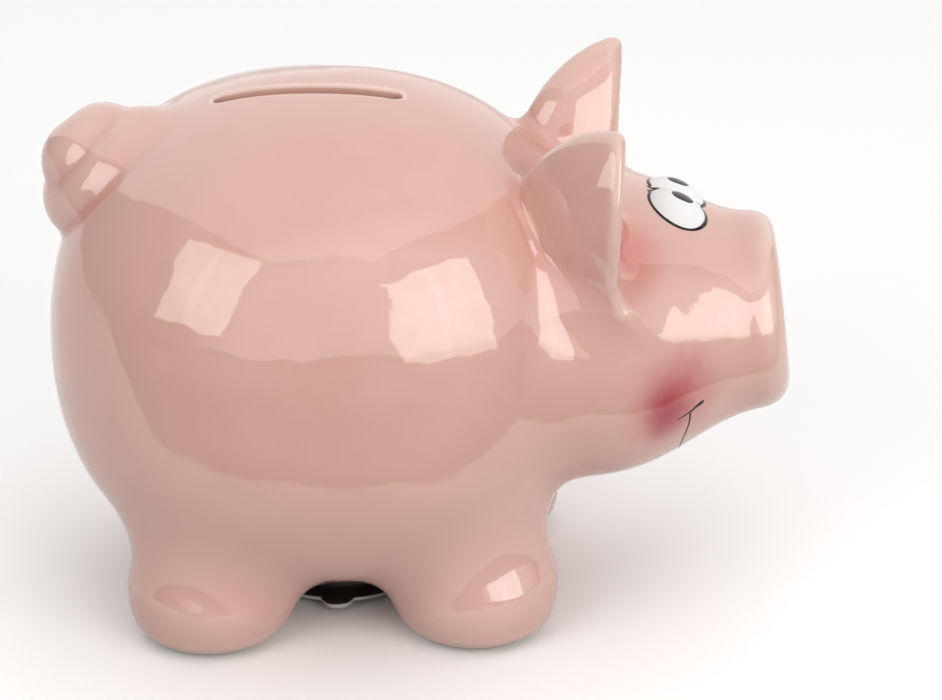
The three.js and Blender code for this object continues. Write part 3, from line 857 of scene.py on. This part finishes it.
def brush_paint():
    g = Graph("black_underglaze")
    streak = g.steps(g.noise(700.0, 3.0, 0.6), 0.35, 0.75)
    colour = g.mix(streak, (0.014, 0.010, 0.010), (0.050, 0.034, 0.030))
    normal = g.bump(g.noise(900.0, 2.0), 0.00003, 0.6)
    rough = g.steps(streak, 0.0, 1.0, 0.16, 0.3)
    g.set(Base_Color=colour, Roughness=rough, Normal=normal, IOR=1.3)
    return g.material


def soft_pvc():
    g = Graph("black_soft_pvc")
    grain = g.noise(1500.0, 3.0, 0.6)
    cloudy = g.steps(g.noise(120.0, 3.0), 0.3, 0.7)
    colour = g.mix(cloudy, (0.011, 0.009, 0.008), (0.026, 0.020, 0.017))
    # Painted reflection: below about 2.4 mm height the stopper is painted pale grey, covering the lower
    # half of the flange's rim, the tab's lower edge and the underside. This stands in for the pale
    # floor that the glossy edge mirrors.
    ragged = g.math("MULTIPLY", g.math("SUBTRACT", g.noise(200.0), 0.5), 0.0003)
    low = g.math("ADD", g.axis(2), ragged)
    pale = g.steps(low, 0.00245, 0.00225)
    colour = g.mix(pale, colour, (0.50, 0.47, 0.42))
    rough = g.steps(grain, 0.3, 0.7, 0.38, 0.5)
    g.set(Base_Color=colour, Roughness=rough, Normal=g.bump(grain, 0.00006, 0.5), IOR=1.52)
    return g.material


def add_attribute(obj, name, values):
    attribute = obj.data.attributes.new(name, "FLOAT", "POINT")
    attribute.data.foreach_set("value", np.asarray(values, np.float32))


def bend_of(points, field, h=0.8):
    """How sharply the skin bends, in 1/mm: positive on an outward edge and negative in a crease."""
    total = np.zeros(len(points))
    for i in range(3):
        d = np.zeros(3)
        d[i] = h
        for sign in (1, -1):
            n = gradient(field, points + sign * d)
            total += sign * n[:, i] / np.maximum(np.linalg.norm(n, axis=-1), 1e-9) / (2 * h)
    return np.clip(total, -0.6, 0.6)


pink = pink_glaze()
for name in ("bank_casting", "ear_left_glazed", "ear_right_glazed", "tail_glazed"):
    obj = pieces[name]
    points = vertex_points(obj)
    on_skin = np.abs(skin_field(points)) < 0.1
    bend = np.zeros(len(points))
    bend[on_skin] = bend_of(points[on_skin], skin_field)
    add_attribute(obj, "bend", bend)
    past_straight = np.maximum(np.abs(points[:, 0] - SLOT_CENTRE_X) - SLOT_HALF, 0)
    across = np.hypot(past_straight, points[:, 1]) - SLOT_RADIUS
    top = points[:, 2] > 108
    add_attribute(obj, "lip", np.where(top, np.clip(1 - np.abs(across - 0.45) / 0.75, 0, 1), 0))
    depth = skin_field(points)
    hidden = (depth < -1.2) & (points[:, 2] > 0.5)
    add_attribute(obj, "inside", hidden.astype(float))
    obj.data.materials.clear()
    obj.data.materials.append(pink)

white = white_glaze()
for name in ("eye_left_dome", "eye_right_dome"):
    obj = pieces[name]
    points = vertex_points(obj)
    add_attribute(obj, "edge", np.clip(1 - body_field(points) / 1.4, 0, 1))
    obj.data.materials.append(white)

paint_material = brush_paint()
for obj in paint.values():
    obj.data.materials.append(paint_material)
stopper.data.materials.clear()
stopper.data.materials.append(soft_pvc())

# ---------------------------------------------------------------- frame links

for name, node, slot_name in (
    ("bank_casting", "body_shell", "pink_glaze"),
    ("ear_left_glazed", "ear_left", "pink_glaze"),
    ("ear_right_glazed", "ear_right", "pink_glaze"),
    ("tail_glazed", "tail", "pink_glaze"),
    ("eye_left_dome", "eye_left", "white_glaze"),
    ("eye_right_dome", "eye_right", "white_glaze"),
):
    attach(pieces[name], "bank")
    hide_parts(node)
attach(stopper, "stopper")
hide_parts("stopper")
for obj in paint.values():
    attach(obj, "bank")

# ---------------------------------------------------------------- studio

# The floor and the world answer camera, mirror-like and soft rays differently, to bring back the
# reflections of a photo studio. The object's own materials don't do this.

SHEET_EDGE = 0.107
FLOOR_REACH, FLOOR_HEIGHT = 4000, -0.4
floor = mesh_object(
    "studio_floor",
    [(x * FLOOR_REACH, y * FLOOR_REACH, FLOOR_HEIGHT) for x, y in ((-1, -1), (1, -1), (1, 1), (-1, 1))],
    [(0, 1, 2, 3)],
)
g = Graph("studio_floor")
grain = g.noise(3.0, 3.0)
# The pale sheet ends a little in front of the object; only the glaze's reflections show that.
sheet = g.math("ADD", g.axis(1), SHEET_EDGE)
ahead = g.math("MAXIMUM", g.math("ADD", g.axis(0), -0.010), 0.0)
sheet = g.math("SUBTRACT", sheet, g.math("MULTIPLY", ahead, 0.42))
on_sheet = g.steps(sheet, -0.004, 0.004)
path = g.node("ShaderNodeLightPath")
seen_dark = g.math("MULTIPLY", path.outputs["Is Glossy Ray"], g.math("SUBTRACT", 1.0, on_sheet))
pale = g.mix(grain, (0.93, 0.93, 0.93), (0.96, 0.96, 0.96))
pale = g.mix(path.outputs["Is Diffuse Ray"], pale, (0.40, 0.38, 0.37))
g.set(Base_Color=g.mix(seen_dark, pale, (0.20, 0.19, 0.18)), Roughness=0.7)
floor.data.materials.append(g.material)


def softbox(name, azimuth, elevation, distance, width, height, power, at=(0.0, -0.05, 0.085)):
    """An area light that faces the object, azimuth degrees from -Y toward +X."""
    a, e = math.radians(azimuth), math.radians(elevation)
    direction = Vector((math.sin(a) * math.cos(e), -math.cos(a) * math.cos(e), math.sin(e)))
    data = bpy.data.lights.new(name, "AREA")
    data.shape = "RECTANGLE"
    data.size = width
    data.size_y = height
    data.energy = power
    light = bpy.data.objects.new(name, data)
    bpy.context.scene.collection.objects.link(light)
    light.location = Vector(at) + direction * distance
    light.rotation_euler = direction.to_track_quat("Z", "Y").to_euler()
    light.visible_camera = False
    return light


RADIANCE = math.pi  # watts per square metre of an area light that give a radiance of 1


def window(label, azimuth, elevation, width, height, radiance, diffuse):
    """A softbox with a brighter middle, and folds that show as a faint cross in reflections."""
    panels = (
        ("softbox", 0.95, width, height, radiance),
        ("middle", 0.945, width * 0.55, height * 0.62, radiance * 0.14),
        ("fold_up", 0.94, 0.055, height * 0.97, radiance * 0.22),
        ("fold_across", 0.935, width * 0.97, 0.04, radiance * 0.12),
    )
    for kind, distance, wide, tall, level in panels:
        power = level * wide * tall * RADIANCE
        light = softbox(f"{kind}_{label}", azimuth, elevation, distance, wide, tall, power)
        light.data.diffuse_factor = diffuse


window("right", 44.5, 17.0, 0.80, 0.78, 2.9, 0.68)
window("left", -45.5, 27.5, 0.60, 0.72, 2.6, 0.35)

world = bpy.data.worlds.new("studio")
bpy.context.scene.world = world
world.use_nodes = True
tree = world.node_tree
tree.nodes.clear()


def world_math(operation, a, b=0.0, clamp=False):
    node = tree.nodes.new("ShaderNodeMath")
    node.operation = operation
    node.use_clamp = clamp
    for socket, value in zip(node.inputs, (a, b)):
        if isinstance(value, bpy.types.NodeSocket):
            tree.links.new(value, socket)
        else:
            socket.default_value = value
    return node.outputs[0]


# A bright diffuser overhead and behind, whose front edge comes to a blunt point, over a dim room.
coordinate = tree.nodes.new("ShaderNodeTexCoord")
split = tree.nodes.new("ShaderNodeSeparateXYZ")
tree.links.new(coordinate.outputs["Generated"], split.inputs[0])
x, y, z = split.outputs
front = world_math("MULTIPLY", z, -0.9)
aside = world_math("MULTIPLY", world_math("ABSOLUTE", x), 1.35)
sides = world_math("ADD", world_math("MULTIPLY", z, -1.25), aside)
edge = world_math("MAXIMUM", front, sides)
inside = world_math("MULTIPLY", world_math("SUBTRACT", y, edge), 40.0, True)
above = world_math("MULTIPLY", world_math("ADD", z, 0.1), 30.0, True)
overhead = world_math("MULTIPLY", inside, above)
strength = world_math("ADD", world_math("MULTIPLY", overhead, 0.95), 0.30)
# What lights the object comes more from the right and from above than from the left.
leaning = world_math("ADD", world_math("MULTIPLY", x, 0.42), world_math("MULTIPLY", z, 0.25))
leaning = world_math("ADD", 0.72, leaning)
path = tree.nodes.new("ShaderNodeLightPath")
shown = path.outputs["Is Camera Ray"]
soft = path.outputs["Is Diffuse Ray"]
leaning = world_math("MULTIPLY", soft, leaning)
leaning = world_math("ADD", leaning, world_math("SUBTRACT", 1.0, soft))
strength = world_math("MULTIPLY", strength, leaning)
# Reflections also show a wide pale glow from behind the camera and to its right.
facing = world_math("ADD", world_math("MULTIPLY", y, -0.85), world_math("MULTIPLY", x, 0.45))
glow = world_math("MULTIPLY", world_math("SUBTRACT", facing, 0.25), 2.6, True)
glossy = world_math("MULTIPLY", path.outputs["Is Glossy Ray"], glow)
strength = world_math("ADD", strength, world_math("MULTIPLY", glossy, 1.15))
strength = world_math(
    "ADD",
    world_math("MULTIPLY", world_math("SUBTRACT", 1.0, shown), strength),
    world_math("MULTIPLY", shown, 0.98),
)
background = tree.nodes.new("ShaderNodeBackground")
background.inputs["Color"].default_value = (1.0, 0.995, 0.985, 1.0)
tree.links.new(strength, background.inputs["Strength"])
output = tree.nodes.new("ShaderNodeOutputWorld")
tree.links.new(background.outputs[0], output.inputs[0])

bpy.context.scene.view_settings.view_transform = "Standard"
